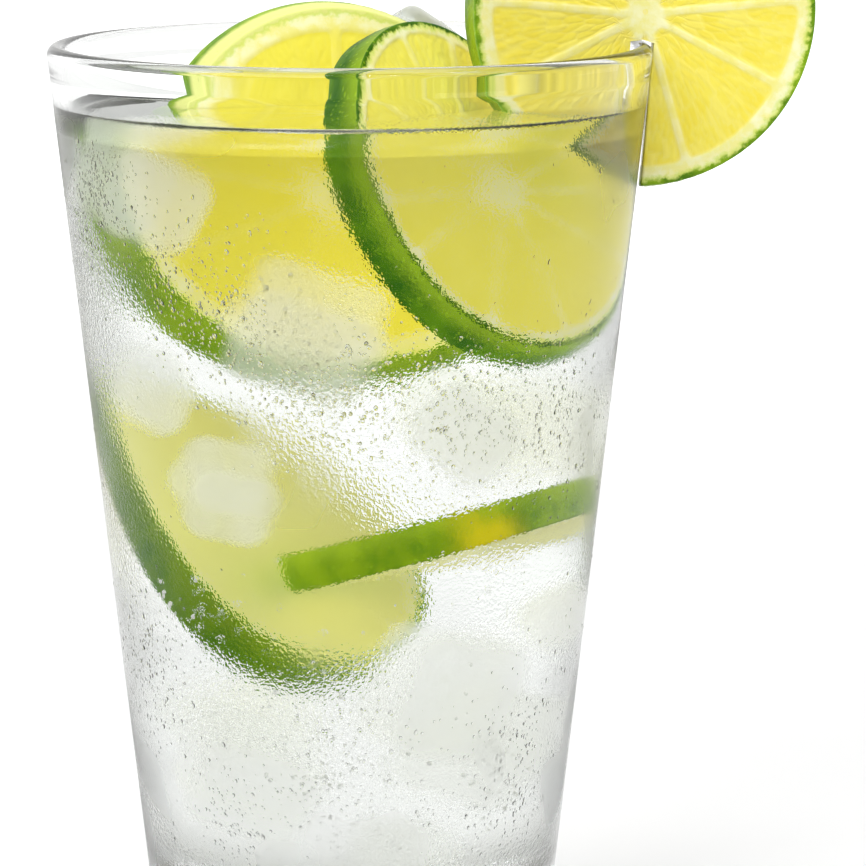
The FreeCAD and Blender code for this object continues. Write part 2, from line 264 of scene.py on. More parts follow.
def ring_mesh(name, rings, start=None, end=None, masks=None):
    """A closed surface through rings of points, with a point that closes each end.

    rings is an array (ring, step, 3). masks are values for each point, as arrays (ring, step).
    """
    count, steps = rings.shape[:2]
    index = np.arange(count * steps).reshape(count, steps)
    beside = np.roll(index, -1, axis=1)
    quads = np.stack([index[:-1], beside[:-1], beside[1:], index[1:]], axis=-1).reshape(-1, 4).tolist()
    points = [rings.reshape(-1, 3)]
    caps = []
    for place, ring, flip in ((start, 0, True), (end, -1, False)):
        if place is not None:
            tip = count * steps + len(caps)
            pairs = zip(index[ring].tolist(), beside[ring].tolist())
            quads += [(b, a, tip) if flip else (a, b, tip) for a, b in pairs]
            points.append(np.array([place], float))
            caps.append(ring)
    mesh = bpy.data.meshes.new(name)
    mesh.from_pydata(np.concatenate(points).tolist(), [], quads)
    mesh.shade_smooth()
    for key, mask in (masks or {}).items():
        ends = [mask[ring].mean() for ring in caps]
        store = mesh.attributes.new(key, "FLOAT", "POINT")
        store.data.foreach_set("value", np.concatenate([mask.ravel(), ends]).astype(np.float32))
    return mesh


def turn_on_lathe(name, path, masks=None):
    """Turns a path that starts and ends on the axis."""
    angle = np.linspace(0, 2 * np.pi, LATHE_STEPS, endpoint=False)
    across = np.array([p.x for p in path[1:-1]])[:, None]
    up = np.array([p.y for p in path[1:-1]])[:, None]
    rings = np.stack([across * np.cos(angle), across * np.sin(angle), up + 0 * angle], axis=-1)
    spun = {key: np.repeat(mask[1:-1, None], LATHE_STEPS, axis=1) for key, mask in (masks or {}).items()}
    return ring_mesh(name, rings, (0, 0, path[0].y), (0, 0, path[-1].y), spun)


blend_height = GLASS_HEIGHT - LIP - LIP_BLEND
corner_height = FLOOR_THICK + CORNER_RISE
lip_inside = RIM_RADIUS - 2 * LIP
outside_path = [Vector((0, 0))]
outside_path += rounded_path([(0, 0, 0), (BASE_RADIUS, 0, FOOT_ROUND), (RIM_RADIUS, GLASS_HEIGHT - LIP, 0)])
lip_path = [
    Vector((RIM_RADIUS - LIP + LIP * math.cos(turn), GLASS_HEIGHT - LIP + LIP * math.sin(turn)))
    for turn in np.linspace(0, math.pi, 17)
]
inside_path = rounded_path([
    (lip_inside, GLASS_HEIGHT - LIP, 0),
    (wall_inside(blend_height), blend_height, 6 * MM),
    (wall_inside(corner_height), corner_height, CORNER_ROUND),
    (FLOOR_FLAT, FLOOR_THICK, FLOOR_ROUND),
    (0, FLOOR_THICK, 0),
])
glass_path = spread(outside_path[1:-1] + lip_path + inside_path[1:], LATHE_REACH)
drink_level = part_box("drink")[1].z
misted = np.array([
    1.0 if p.x > wall_outside(p.y) - 0.2 * MM and MIST_FOOT < p.y < GLASS_HEIGHT - 2 * LIP else 0.0
    for p in glass_path
])
glass = add_object("highball_glass", turn_on_lathe("highball_glass", glass_path, {"outside": misted}))


def new_group(name, inputs, outputs):
    """A node group with named sockets, given as (name, kind, value)."""
    group = bpy.data.node_groups.new(name, "ShaderNodeTree")
    for title, kind, setting in inputs:
        socket = group.interface.new_socket(title, in_out="INPUT", socket_type=kind)
        socket.default_value = setting
    for title, kind in outputs:
        group.interface.new_socket(title, in_out="OUTPUT", socket_type=kind)
    return group, group.nodes.new("NodeGroupInput"), group.nodes.new("NodeGroupOutput")


def noise(tree, where, scale, detail=3.0, rough=0.55):
    inputs = {"Vector": where, "Scale": scale, "Detail": detail, "Roughness": rough}
    return put(tree, "ShaderNodeTexNoise", inputs).outputs["Fac"]


def sums(tree, operation, first, second):
    """One step of arithmetic on two numbers or sockets."""
    return put(tree, "ShaderNodeMath", {0: first, 1: second}, operation=operation).outputs[0]


mist_group, mist_in, mist_out = new_group(
    "cold_mist",
    [
        ("Mask", "NodeSocketFloat", 1.0),
        ("Clear Roughness", "NodeSocketFloat", 0.02),
        ("Mist Roughness", "NodeSocketFloat", 0.3),
    ],
    [("Roughness", "NodeSocketFloat"), ("Height", "NodeSocketFloat")],
)
mist_place = own_place(mist_group)
mist_patch = remap(mist_group, noise(mist_group, mist_place, MIST_SCALE, 1.0), 0.4, 0.62, 0.4, 1.0)
for spot in CLEAR_SPOTS:
    ends = {0: mist_place, 1: Vector(spot) * MM}
    apart = put(mist_group, "ShaderNodeVectorMath", ends, operation="DISTANCE").outputs["Value"]
    window = remap(mist_group, apart, CLEAR_NEAR, CLEAR_FAR, 0.25, 1.0)
    mist_patch = sums(mist_group, "MULTIPLY", mist_patch, window)
mist_amount = sums(mist_group, "MULTIPLY", mist_patch, mist_in.outputs["Mask"])
clear_rough = mist_in.outputs["Clear Roughness"]
mist_rough = sums(mist_group, "SUBTRACT", mist_in.outputs["Mist Roughness"], clear_rough)
mist_rough = sums(mist_group, "MULTIPLY", mist_amount, mist_rough)
mist_rough = sums(mist_group, "ADD", mist_rough, clear_rough)
mist_group.links.new(mist_rough, mist_out.inputs["Roughness"])
grain = noise(mist_group, mist_place, GRAIN_SCALE, 1.0, 0.6)
grain_patch = noise(mist_group, mist_place, GRAIN_PATCH_SCALE, 1.0)
grain_patch = remap(mist_group, grain_patch, 0.42, 0.66, 0.2, 1.0)
grain_amount = sums(mist_group, "MULTIPLY", grain_patch, mist_in.outputs["Mask"])
mist_group.links.new(sums(mist_group, "MULTIPLY", grain, grain_amount), mist_out.inputs["Height"])


def clear_material(name, tint, ior, shine=1.0):
    """Clear glass or water. shine is the share of its reflection that its surface keeps."""
    material, tree, shader = new_material(name)
    shader.inputs["Base Color"].default_value = tint
    shader.inputs["Roughness"].default_value = 0.0
    shader.inputs["Transmission Weight"].default_value = 1.0
    shader.inputs["IOR"].default_value = ior
    shader.inputs["Specular Tint"].default_value = (shine, shine, shine, 1)
    return material, tree, shader


def wet_faces(piece, material, is_wet):
    """Gives a second material to the faces whose middle is wet."""
    piece.data.materials.append(material)
    for face in piece.data.polygons:
        face.material_index = int(is_wet(math.hypot(face.center.x, face.center.y), face.center.z))


glass_material, tree, shader = clear_material("soda_glass", GLASS_TINT, GLASS_IOR, GLASS_SHINE)
outside = put(tree, "ShaderNodeAttribute", attribute_name="outside").outputs["Fac"]
height_up = put(tree, "ShaderNodeSeparateXYZ", {0: own_place(tree)}).outputs["Z"]
below_level = remap(tree, height_up, drink_level - 1 * MM, drink_level + 4 * MM, 1.0, 0.0)
mist = put(tree, "ShaderNodeGroup", {}, node_tree=mist_group)
tree.links.new(sums(tree, "MULTIPLY", outside, below_level), mist.inputs["Mask"])
mist.inputs["Clear Roughness"].default_value = 0.0
mist.inputs["Mist Roughness"].default_value = 0.34
tree.links.new(mist.outputs["Roughness"], shader.inputs["Roughness"])
bump = put(tree, "ShaderNodeBump", {"Strength": 0.8, "Distance": 0.2 * MM, "Height": mist.outputs["Height"]})
tree.links.new(bump.outputs["Normal"], shader.inputs["Normal"])
glass.data.materials.append(glass_material)
wet_glass = clear_material("soda_glass_wet", GLASS_TINT, GLASS_IOR, WET_GLASS_SHINE)[0]
wet_faces(glass, wet_glass, lambda r, z: FLOOR_THICK - MM < z < drink_level and r < wall_outside(z) - MM)
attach(glass, "root")
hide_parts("glass")

# ---------------------------------------------------------------- lemonade
# Cloudy lemon water poured to just under the lip. It wets the wall and climbs it by a millimetre, and
# takes a little of the light that crosses the glass.
WETS_INTO_WALL = 0.15 * MM
CLIMB = 1.3 * MM
CLIMB_WIDTH = 2.5 * MM
CLIMB_FADE = 4
CLIMB_STEPS = 13
LEMON_LOSS = (0.30, 0.32, 0.30, 1.0)
LEMON_DENSITY = 2.8
WATER_IOR = 1.333
LEMON_SHINE = 1.0
LEMON_SHINE_ON_GLASS = 0.08

bowl_path = [p + Vector((WETS_INTO_WALL, -WETS_INTO_WALL / 2)) for p in reversed(inside_path[:-1])]
bowl_path = [p for p in bowl_path if p.y < drink_level - 1 * MM]
surface_edge = wall_inside(drink_level)
surface_path = [Vector((surface_edge + WETS_INTO_WALL, drink_level + CLIMB))]
for share in np.linspace(0.0, 1.0, CLIMB_STEPS):
    climbed = CLIMB * math.exp(-CLIMB_FADE * share) - CLIMB * math.exp(-CLIMB_FADE) * share
    surface_path.append(Vector((surface_edge - CLIMB_WIDTH * share, drink_level + climbed)))
surface_path.append(Vector((0, drink_level)))
lemonade_path = [Vector((0, FLOOR_THICK - WETS_INTO_WALL / 2))] + bowl_path + surface_path
lemonade = add_object("lemonade", turn_on_lathe("lemonade", spread(lemonade_path, LATHE_REACH)))


def lemon_water(name, shine):
    """Lemonade for one kind of boundary. shine is as in clear_material."""
    material, tree = clear_material(name, WHITE, WATER_IOR, shine)[:2]
    loss = put(tree, "ShaderNodeVolumeAbsorption", {"Color": LEMON_LOSS, "Density": LEMON_DENSITY})
    tree.links.new(loss.outputs["Volume"], tree.nodes["Material Output"].inputs["Volume"])
    return material


lemonade.data.materials.append(lemon_water("lemon_water", LEMON_SHINE))
lemon_on_glass = lemon_water("lemon_water_on_glass", LEMON_SHINE_ON_GLASS)
wet_faces(lemonade, lemon_on_glass, lambda r, z: z < drink_level - 0.8 * MM)
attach(lemonade, "root")
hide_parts("drink")

# ---------------------------------------------------------------- lime slices
# Slices of ripe lime, cut with a thin knife: bright green peel pitted by oil glands, pale pith, and
# uneven segments of yellow juice sacs between white membranes that meet in the core.
PEEL_CURVE = 20.0 * MM
SLICE_STEPS = 400
SUNK_STEPS = 256
FACE_RINGS = 62
EDGE_RINGS = 14
PEEL_ROWS = 17
EDGE_ROUND = 0.12 * MM
OUTLINE_UNEVEN = 0.006
PIT_DEPTH = 0.045 * MM
CORE = 2.2 * MM
MEMBRANE_SOFT = 0.45 * MM
SAC_LONG = 3.4 * MM
SAC_WIDE = 0.95 * MM
FLESH_SUNK = 0.22 * MM
SEAM_STEP = 0.1 * MM
SAC_STEP = 0.06 * MM
# colours as dark and light, or one
JUICE = ((0.89, 0.73, 0.06), (0.93, 0.82, 0.13))
SAC_PALE = (0.96, 0.88, 0.28, 1)
SEAM_PALE = (0.95, 0.89, 0.32, 1)
PITH = ((0.88, 0.84, 0.30), (0.93, 0.92, 0.56))
UNDER_PEEL = (0.56, 0.70, 0.06, 1)
GLAND_GREEN = (0.36, 0.56, 0.02, 1)
CUT_GREEN = (0.46, 0.62, 0.03, 1)
BARE_PITH = (0.80, 0.82, 0.28, 1)
RIPE_YELLOW = (0.72, 0.60, 0.004, 1)


def smooth(low, high, x):
    share = np.clip((x - low) / (high - low), 0, 1)
    return share * share * (3 - 2 * share)


def wavy(angle, size, waves, rng):
    """A slow uneven wave round the fruit."""
    total = 0 * angle
    for wave in waves:
        total = total + rng.uniform(0.4, 1.0) / len(waves) * np.cos(wave * angle + rng.uniform(0, 2 * np.pi))
    return size * total


def juice_sacs(x, y, radius, first, width, rng):
    """Long sacs in rows round the core, in one segment: a random value for each sac, and the seams."""
    seeds = []
    for row in np.arange(CORE, radius, SAC_LONG * 0.8):
        across = max(2, int(round(row * width / SAC_WIDE)))
        for k in range(across):
            swing = first + width * (k + 0.5 + rng.uniform(-0.35, 0.35)) / across
            seeds.append((row + rng.uniform(-0.5, 0.5) * SAC_LONG, swing))
    reach, swing = np.array(seeds).T
    lie = swing + rng.normal(0, 0.12, len(seeds))
    gap_x = x[:, None] - reach * np.cos(swing)
    gap_y = y[:, None] - reach * np.sin(swing)
    far = (gap_x * np.cos(lie) + gap_y * np.sin(lie)) / (SAC_LONG * 0.55)
    side = (gap_y * np.cos(lie) - gap_x * np.sin(lie)) / (SAC_WIDE * 0.55)
    apart = np.sqrt(far * far + side * side)
    nearest = np.argmin(apart, axis=1)
    two = np.partition(apart, 1, axis=1)[:, :2]
    return rng.random(len(seeds))[nearest], 1 - smooth(0.0, 0.42, two[:, 1] - two[:, 0])


def segment_map(x, y, radius, pith_thick, count, spin, rng):
    """Masks on the cut face at the points x, y: how far into a segment, its sacs, and their seams."""
    core_x, core_y = rng.uniform(-0.7, 0.7, 2) * MM
    walls = np.radians(spin) + (np.arange(count) + rng.uniform(-0.22, 0.22, count)) * 2 * np.pi / count
    shape = x.shape
    outline = np.hypot(x, y).ravel()
    x, y = x.ravel() - core_x, y.ravel() - core_y
    reach = np.hypot(x, y)
    turn = np.arctan2(y, x)
    pith = pith_thick + wavy(turn, 0.7 * MM, (1, 2, 3, 5), rng)
    inside, sac, seam = np.zeros(reach.size), np.zeros(reach.size), np.zeros(reach.size)
    for first, last in zip(walls, np.roll(walls, -1)):
        width = (last - first) % (2 * np.pi)
        along = (turn - first) % (2 * np.pi)
        mine = np.nonzero((along < width) & (outline < radius))[0]
        near = along[mine]
        skin = (0.22 + 0.16 * rng.random()) * MM
        to_first = reach[mine] * np.sin(np.minimum(near, np.pi / 2)) - skin
        to_last = reach[mine] * np.sin(np.minimum(width - near, np.pi / 2)) - skin
        to_rind = radius - pith[mine] - outline[mine]
        to_core = reach[mine] - CORE * rng.uniform(0.75, 1.25)
        ways = np.clip(np.stack([to_first, to_last, to_rind, to_core]), -6 * MM, 20 * MM)
        depth = -MEMBRANE_SOFT * np.log(np.sum(np.exp(-ways / MEMBRANE_SOFT), axis=0))
        inside[mine] = smooth(-0.15 * MM, 0.5 * MM, depth)
        sac[mine], seam[mine] = juice_sacs(x[mine], y[mine], radius, first, width, rng)
    masks = {"flesh": inside, "sac": sac, "seam": seam * inside}
    return {key: mask.reshape(shape) for key, mask in masks.items()}


def cut_lime(
    name, face_radius, back_radius, thick, pith_thick, count, spin, place, seed, slit=None, steps=SLICE_STEPS
):
    """A slice at place, with its cut face at local z = 0, facing +z.

    Its segments start at spin degrees. slit is the (angle, width, end, skew) of a cut from the core outward.
    """
    rng = np.random.default_rng(seed)
    share = np.arange(steps) / steps
    face_rings = np.concatenate([np.linspace(0.02, 0.88, FACE_RINGS), np.linspace(0.89, 1.0, EDGE_RINGS)])
    peel_rows = np.linspace(0, 1, PEEL_ROWS)
    shape_wave = wavy(share * 2 * np.pi, OUTLINE_UNEVEN, (2, 3, 5, 7), rng)
    pits = rng.normal(0, 1, (PEEL_ROWS, steps))
    pits = PIT_DEPTH * (pits + np.roll(pits, 1, axis=1) + np.roll(pits, 1, axis=0)) / 3

    def angles(radius, depth):
        """The points' angles round rings of this radius, which open at the slit. depth is 1 at the back."""
        if slit is None:
            return share[None, :] * 2 * np.pi + 0 * radius[:, None]
        angle, width, end, skew = slit
        angle = angle + (skew * depth / np.maximum(radius, end))[:, None]
        open_half = np.where(radius > end, np.arcsin(np.clip(width / 2 / radius, 0, 0.9)), 0.0)
        open_half *= smooth(end, end + 0.6 * MM, radius)
        span = 2 * np.pi - 2 * open_half
        return angle + open_half[:, None] + span[:, None] * np.arange(steps)[None, :] / (steps - 1)

    def face(radius, height, side):
        """Rings and masks of one cut face, which looks up where side is 1 and down where it is -1."""
        reach = face_rings * radius
        turn = angles(reach, (1 - side) / 2)
        reach = reach[:, None] * (1 + shape_wave)
        x, y = reach * np.cos(turn), reach * np.sin(turn)
        masks = segment_map(x, y, radius, pith_thick, count, spin, np.random.default_rng(seed + 5))
        sunk = masks["flesh"] * (SEAM_STEP * (1 - masks["seam"]) - FLESH_SUNK)
        sunk += masks["flesh"] * SAC_STEP * (masks["sac"] - 0.5)
        edge = np.maximum(0, reach - radius * (1 + shape_wave) + EDGE_ROUND) / EDGE_ROUND
        up = height + side * (sunk - EDGE_ROUND * edge ** 2)
        masks["rim"] = (radius * (1 + shape_wave) - reach) / MM
        return np.stack([x, y, up], axis=-1), masks

    front, front_masks = face(face_radius, 0.0, 1)
    back, back_masks = face(back_radius, -thick, -1)
    low = back_radius + (face_radius - back_radius) * peel_rows
    chord = math.hypot(face_radius - back_radius, thick)
    bulge = np.sqrt(PEEL_CURVE ** 2 - ((peel_rows - 0.5) * chord) ** 2)
    bulge -= math.sqrt(PEEL_CURVE ** 2 - chord ** 2 / 4)
    reach = (low + bulge)[:, None] * (1 + shape_wave) + pits * np.sin(np.pi * peel_rows)[:, None]
    turn = angles(low, 1 - peel_rows)
    up = (-thick + EDGE_ROUND + (thick - 2 * EDGE_ROUND) * peel_rows)[:, None] + 0 * reach
    peel = np.stack([reach * np.cos(turn), reach * np.sin(turn), up], axis=-1)
    rings = np.concatenate([back, peel, front[::-1]])
    rows = np.repeat(peel_rows[:, None], steps, axis=1)
    no_face = np.zeros((len(face_rings), steps))
    masks = {
        key: np.concatenate([back_masks[key], 0 * rows, front_masks[key][::-1]]) for key in front_masks
    }
    masks["peel"] = np.concatenate([no_face, 0 * rows + 1, no_face])
    masks["row"] = np.concatenate([no_face, rows, no_face])
    if slit is None:
        mesh = ring_mesh(name, rings, (0, 0, -thick), (0, 0, 0), masks)
    else:
        mesh = open_ring_mesh(name, rings, len(face_rings), (0, 0, -thick), (0, 0, 0), masks)
    mesh.transform(place)
    return add_object(name, mesh)


def open_ring_mesh(name, rings, face_count, start, end, masks):
    """A slice whose rings don't close. Walls between its two faces line the slit."""
    count, steps = rings.shape[:2]
    index = np.arange(count * steps).reshape(count, steps)
    quads = np.stack([index[:-1, :-1], index[:-1, 1:], index[1:, 1:], index[1:, :-1]], axis=-1)
    faces = quads.reshape(-1, 4).tolist()
    tip_low, tip_high = count * steps, count * steps + 1
    faces += [(b, a, tip_low) for a, b in zip(index[0, :-1].tolist(), index[0, 1:].tolist())]
    faces += [(a, b, tip_high) for a, b in zip(index[-1, :-1].tolist(), index[-1, 1:].tolist())]
    for column, flip in ((0, False), (steps - 1, True)):
        for k in range(face_count - 1):
            wall = [int(index[row, column]) for row in (k, k + 1, count - 2 - k, count - 1 - k)]
            faces.append(wall[::-1] if flip else wall)
        side = [int(i) for i in index[face_count - 1: count - face_count + 1, column]]
        faces.append(side[::-1] if flip else side)
    mesh = bpy.data.meshes.new(name)
    mesh.from_pydata(np.concatenate([rings.reshape(-1, 3), [start], [end]]).tolist(), [], faces)
    mesh.shade_smooth()
    for key, mask in masks.items():
        store = mesh.attributes.new(key, "FLOAT", "POINT")
        store.data.foreach_set("value", np.concatenate([mask.ravel(), [0, 0]]).astype(np.float32))
    return mesh


def standing(centre, yaw, lean):
    """Where a slice stands: its face leans back by lean and is turned about Z by yaw."""
    turn = Matrix.Rotation(math.radians(yaw), 4, "Z") @ Matrix.Rotation(math.radians(90 - lean), 4, "X")
    return Matrix.Translation(Vector(centre) * MM) @ turn


mottle_group, mottle_in, mottle_out = new_group(
    "mottle",
    [
        ("Dark", "NodeSocketColor", (0, 0, 0, 1)),
        ("Light", "NodeSocketColor", (1, 1, 1, 1)),
        ("Scale", "NodeSocketFloat", 100.0),
        ("Contrast", "NodeSocketFloat", 0.2),
    ],
    [("Color", "NodeSocketColor"), ("Height", "NodeSocketFloat")],
)
mottle_noise = noise(mottle_group, own_place(mottle_group), 1.0, 4.0, 0.6)
mottle_group.links.new(mottle_in.outputs["Scale"], mottle_noise.node.inputs["Scale"])
mottle_low = sums(mottle_group, "SUBTRACT", 0.5, mottle_in.outputs["Contrast"])
mottle_high = sums(mottle_group, "ADD", 0.5, mottle_in.outputs["Contrast"])
mottle_share = remap(mottle_group, mottle_noise, mottle_low, mottle_high)
mottle_colour = mix(mottle_group, mottle_share, mottle_in.outputs["Dark"], mottle_in.outputs["Light"])
mottle_group.links.new(mottle_colour, mottle_out.inputs["Color"])
mottle_group.links.new(mottle_noise, mottle_out.inputs["Height"])


def mottled(tree, dark, light, scale, contrast=0.2):
    """A colour between dark and light, and the height that goes with it."""
    inputs = {"Dark": (*dark, 1), "Light": (*light, 1), "Scale": scale, "Contrast": contrast}
    node = put(tree, "ShaderNodeGroup", {}, node_tree=mottle_group)
    for key, setting in inputs.items():
        node.inputs[key].default_value = setting
    return node.outputs["Color"], node.outputs["Height"]


def lime_finish(name, peel_green, ior, veil, soaked, glow=0.0, peel_glow=0.0, bare=0.0, ripe=None):
    """Peel, pith and flesh of one slice. peel_green is dark and light.

    veil hides the membranes where the face is wet through, and soaked is the colour that the flesh then has.
    glow and peel_glow are painted light: where they lie in the drink, the faces and the peel glow by this
    share of their own colour, in place of light that comes through the fruit. bare is how much of the dry
    peel's width is pith, and ripe is a yellow patch, as (centre, size).
    """
    material, tree, shader = new_material(name)

    def mask(key):
        return put(tree, "ShaderNodeAttribute", attribute_name=key).outputs["Fac"]

    place = own_place(tree)
    flesh, sac, seam, rim, peel = (mask(key) for key in ("flesh", "sac", "seam", "rim", "peel"))
    off_pith = remap(tree, rim, 2.0, 4.2, 0.0, veil)
    off_core = remap(tree, rim, 18.0, 22.0, 1.0, 0.2)
    flesh = sums(tree, "MAXIMUM", flesh, sums(tree, "MULTIPLY", off_pith, off_core))
    rim = sums(tree, "ADD", rim, remap(tree, noise(tree, place, 900.0), 0.3, 0.7, -0.3, 0.3))
    juice, juice_height = mottled(tree, *JUICE, 260.0, 0.18)
    juice = mix(tree, remap(tree, sac, 0.55, 1.0, 0.0, 0.45), juice, SAC_PALE)
    juice = mix(tree, sums(tree, "MULTIPLY", seam, 0.35), juice, SEAM_PALE)
    juice = mix(tree, veil, juice, (*soaked, 1))
    pith, pith_height = mottled(tree, *PITH, 420.0, 0.15)
    skin, skin_height = mottled(tree, *peel_green, 170.0, 0.16)
    glands = put(tree, "ShaderNodeTexVoronoi", {"Vector": place, "Scale": 1150.0}).outputs["Distance"]
    gland_spot = remap(tree, glands, 0.12, 0.34, 1.0, 0.0)
    skin = mix(tree, sums(tree, "MULTIPLY", gland_spot, 0.4), skin, GLAND_GREEN)
    skin = mix(tree, remap(tree, mask("row"), 0.35, 1.0, 0.0, 0.4), skin, CUT_GREEN)
    height_up = put(tree, "ShaderNodeSeparateXYZ", {0: place}).outputs["Z"]
    in_drink = remap(tree, height_up, drink_level - 2 * MM, drink_level, 1.0, 0.0)
    if bare:
        near_face = sums(tree, "MAXIMUM", mask("row"), sums(tree, "SUBTRACT", 1.0, peel))
        cut = remap(tree, near_face, 0.8 - bare, 1.1 - bare, 0.0, 0.9)
        cut = sums(tree, "MULTIPLY", cut, sums(tree, "SUBTRACT", 1.0, in_drink))
        skin = mix(tree, cut, skin, BARE_PITH)
    if ripe:
        centre, size = ripe
        ends = {0: place, 1: centre}
        apart = put(tree, "ShaderNodeVectorMath", ends, operation="DISTANCE").outputs["Value"]
        apart = sums(tree, "ADD", apart, sums(tree, "MULTIPLY", noise(tree, place, 160.0), 0.9 * size))
        skin = mix(tree, remap(tree, apart, 0.6 * size, 1.3 * size, 0.85, 0.0), skin, RIPE_YELLOW)
    colour = mix(tree, flesh, pith, juice)
    colour = mix(tree, remap(tree, rim, 0.6, 1.6, 0.75, 0.0), colour, UNDER_PEEL)
    edge = remap(tree, rim, 0.35, 0.9, 1.0, 0.0)
    colour = mix(tree, sums(tree, "MAXIMUM", edge, peel), colour, skin)
    tree.links.new(colour, shader.inputs["Base Color"])
    grain_height = sums(tree, "MULTIPLY", juice_height, 0.6)
    grain_height = sums(tree, "ADD", grain_height, sums(tree, "MULTIPLY", pith_height, 0.3))
    peel_height = sums(tree, "SUBTRACT", skin_height, sums(tree, "MULTIPLY", gland_spot, 0.7))
    height = put(tree, "ShaderNodeMix", {"Factor": peel, 2: grain_height, 3: peel_height}).outputs[0]
    bump = put(tree, "ShaderNodeBump", {"Strength": 0.6, "Distance": 0.12 * MM, "Height": height})
    tree.links.new(bump.outputs["Normal"], shader.inputs["Normal"])
    wet = put(tree, "ShaderNodeMix", {"Factor": flesh, 2: 0.38, 3: 0.16}).outputs[0]
    tree.links.new(wet, shader.inputs["Roughness"])
    # Painted glow: in the drink, the flesh and the peel give off this share of their own colour, in place of
    # light that comes through the fruit.
    glow_share = put(tree, "ShaderNodeMix", {"Factor": peel, 2: glow, 3: peel_glow}).outputs[0]
    glow_share = sums(tree, "MULTIPLY", glow_share, in_drink)
    tree.links.new(mix(tree, glow_share, BLACK, colour), shader.inputs["Emission Color"])
    shader.inputs["Emission Strength"].default_value = 1.0
    shader.inputs["IOR"].default_value = ior
    return material


def finish_slice(piece, material, *nodes):
    piece.data.materials.append(material)
    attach(piece, "root")
    if nodes:
        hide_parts(*nodes)


WHEEL_THICK = 5.0 * MM
wheel_place = standing((41.93, -0.29, 144.4), 9, 0)
wheel_slit = (math.radians(265.1), 3.4 * MM, 4.0 * MM, 0.6 * MM)
lime_wheel = cut_lime(
    "lime_wheel", 24.7 * MM, 25.2 * MM, WHEEL_THICK, 2.4 * MM, 9, 12.0, wheel_place, 21, wheel_slit
)
wheel_green = ((0.075, 0.20, 0.002), (0.24, 0.42, 0.006))
wheel_finish = lime_finish("lime_fresh", wheel_green, 1.33, 0.45, (0.91, 0.78, 0.09))
finish_slice(lime_wheel, wheel_finish, "lime_wheel_rim")

FRONT_THICK = 5.8 * MM
front_place = standing((17.5, -8.0, 121.3), 57, 27)
front_slice = cut_lime(
    "lime_front", 24.5 * MM, 24.9 * MM, FRONT_THICK, 1.9 * MM, 10, 28.0, front_place, 32
)
front_green = ((0.024, 0.105, 0.001), (0.085, 0.205, 0.002))
front_finish = lime_finish(
    "lime_dark", front_green, 1.12, 0.75, (0.87, 0.80, 0.11), glow=0.44, peel_glow=0.7
)
finish_slice(front_slice, front_finish, "lime_slice_front")

BACK_THICK = 6.0 * MM
back_place = standing((-1.3, 7.4, 120.1), 17, 15)
back_slice = cut_lime(
    "lime_back", 24.8 * MM, 26.8 * MM, BACK_THICK, 3.2 * MM, 9, 5.0, back_place, 43
)
back_green = ((0.11, 0.26, 0.002), (0.28, 0.44, 0.01))
back_finish = lime_finish(
    "lime_light", back_green, 1.12, 0.85, (0.86, 0.78, 0.08), glow=0.40, peel_glow=0.3, bare=0.5
)
finish_slice(back_slice, back_finish, "lime_slice_back")


def sunk(centre, facing, thick):
    """Where a sunk slice lies, from the middle of its thickness and the way its face looks."""
    look = Vector(facing).normalized()
    face_centre = Vector(centre) * MM + look * thick / 2
    return Matrix.Translation(face_centre) @ look.to_track_quat("Z", "Y").to_matrix().to_4x4()


LOW_THICK = 6.5 * MM
low_place = sunk((-13, 9, 71), (0.711, -0.423, 0.562), LOW_THICK)
low_slice = cut_lime(
    "lime_sunk_low", 24.5 * MM, 24.5 * MM, LOW_THICK, 2.1 * MM, 10, 40.0, low_place, 54, steps=SUNK_STEPS
)
low_green = ((0.10, 0.27, 0.001), (0.20, 0.38, 0.002))
low_finish = lime_finish(
    "lime_low", low_green, 1.05, 0.9, (0.83, 0.82, 0.31), glow=0.36, peel_glow=0.12
)
finish_slice(low_slice, low_finish)

EDGE_THICK = 5.5 * MM
edge_place = sunk((11.6, -4.8, 71.4), (-0.254, 0.115, 0.96), EDGE_THICK)
edge_slice = cut_lime(
    "lime_sunk_level", 19.6 * MM, 19.6 * MM, EDGE_THICK, 2.1 * MM, 9, 10.0, edge_place, 65, steps=SUNK_STEPS
)
edge_green = ((0.11, 0.24, 0.001), (0.24, 0.38, 0.003))
edge_ripe = ((18.5 * MM, -24.0 * MM, 73.0 * MM), 9.5 * MM)
edge_finish = lime_finish(
    "lime_level", edge_green, 1.05, 0.9, (0.82, 0.82, 0.34), glow=0.28, peel_glow=0.5, ripe=edge_ripe
)
finish_slice(edge_slice, edge_finish)

# ---------------------------------------------------------------- ice
# Cubes from a tray, rounded by melting and clouded inside. One flat cube leans on the back slice with
# its corner out of the drink, the rest are packed under the surface around the slices.
ICE_STEPS = 22
ICE_WAVES = 5


